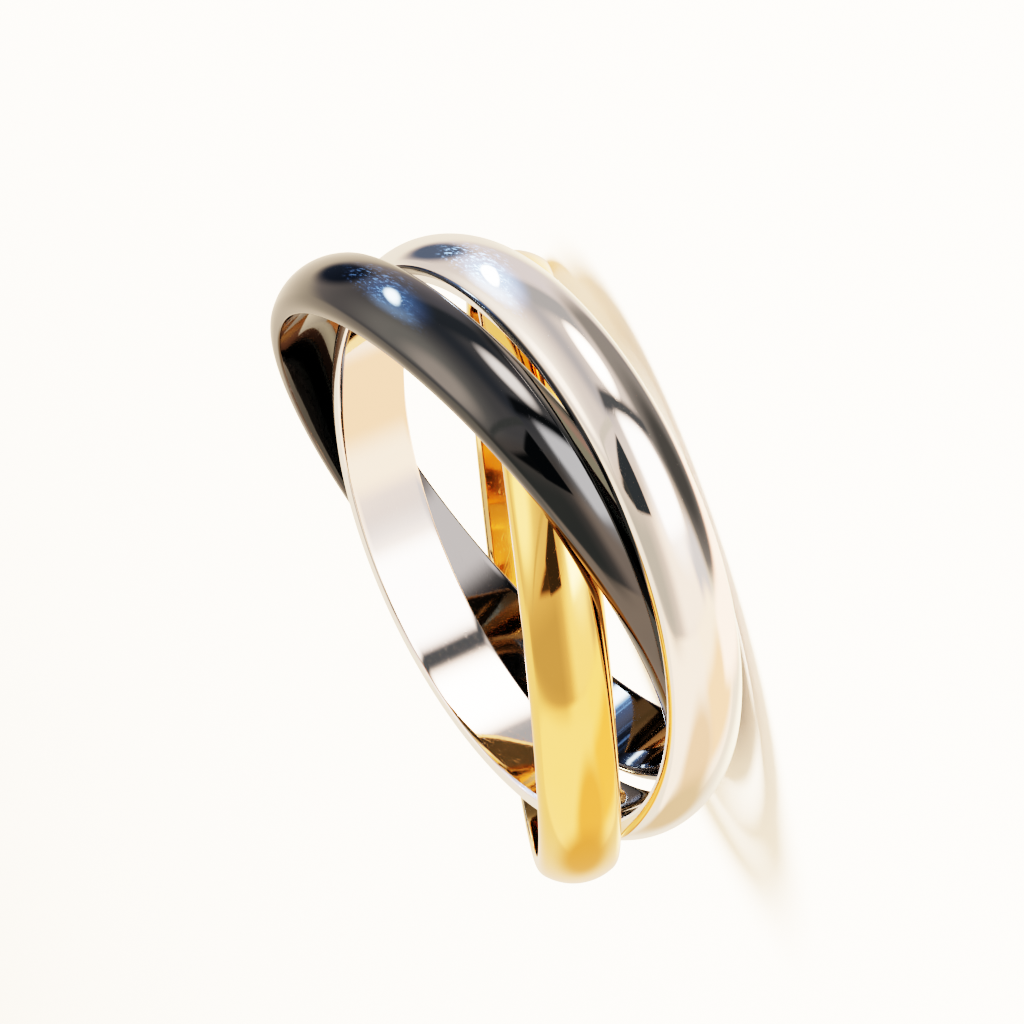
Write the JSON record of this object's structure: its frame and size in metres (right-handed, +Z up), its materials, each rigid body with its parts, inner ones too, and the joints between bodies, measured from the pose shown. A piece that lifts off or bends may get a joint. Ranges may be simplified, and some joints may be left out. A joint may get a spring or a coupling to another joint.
{
  "type": "rolling ring",
  "caption": "Finger ring of plain polished bands, linked in one another so that they roll over each other, lying on its side.",
  "frame": {"origin": "on the surface that the ring lies on, under the middle of its outline", "axes": "+Z up, along the finger hole; +X to the right and +Y away from the viewer in the pictured view"},
  "size_m": [0.0216, 0.0224, 0.0091],
  "materials": {
    "silver_steel": "mirror-polished silver-coloured steel",
    "black_coating": "polished steel with a hard black gunmetal coating",
    "gold_plating": "polished steel with yellow gold plating"
  },
  "bodies": {
    "silver": {"silver_band": "silver_steel"},
    "black": {"black_band": "black_coating"},
    "gold": {"gold_band": "gold_plating"}
  },
  "joints": [
    {"name": "black_band_turn", "type": "hinge", "parent": "silver", "child": "black", "pos_m": [0.00107, -0.00015, 0.00455], "axis": [-0.3301, -0.1169, 0.9367], "continuous": true},
    {"name": "gold_band_turn", "type": "hinge", "parent": "silver", "child": "gold", "pos_m": [-0.00083, 0.00105, 0.00363], "axis": [0.2296, 0.0998, 0.9681], "continuous": true}
  ]
}
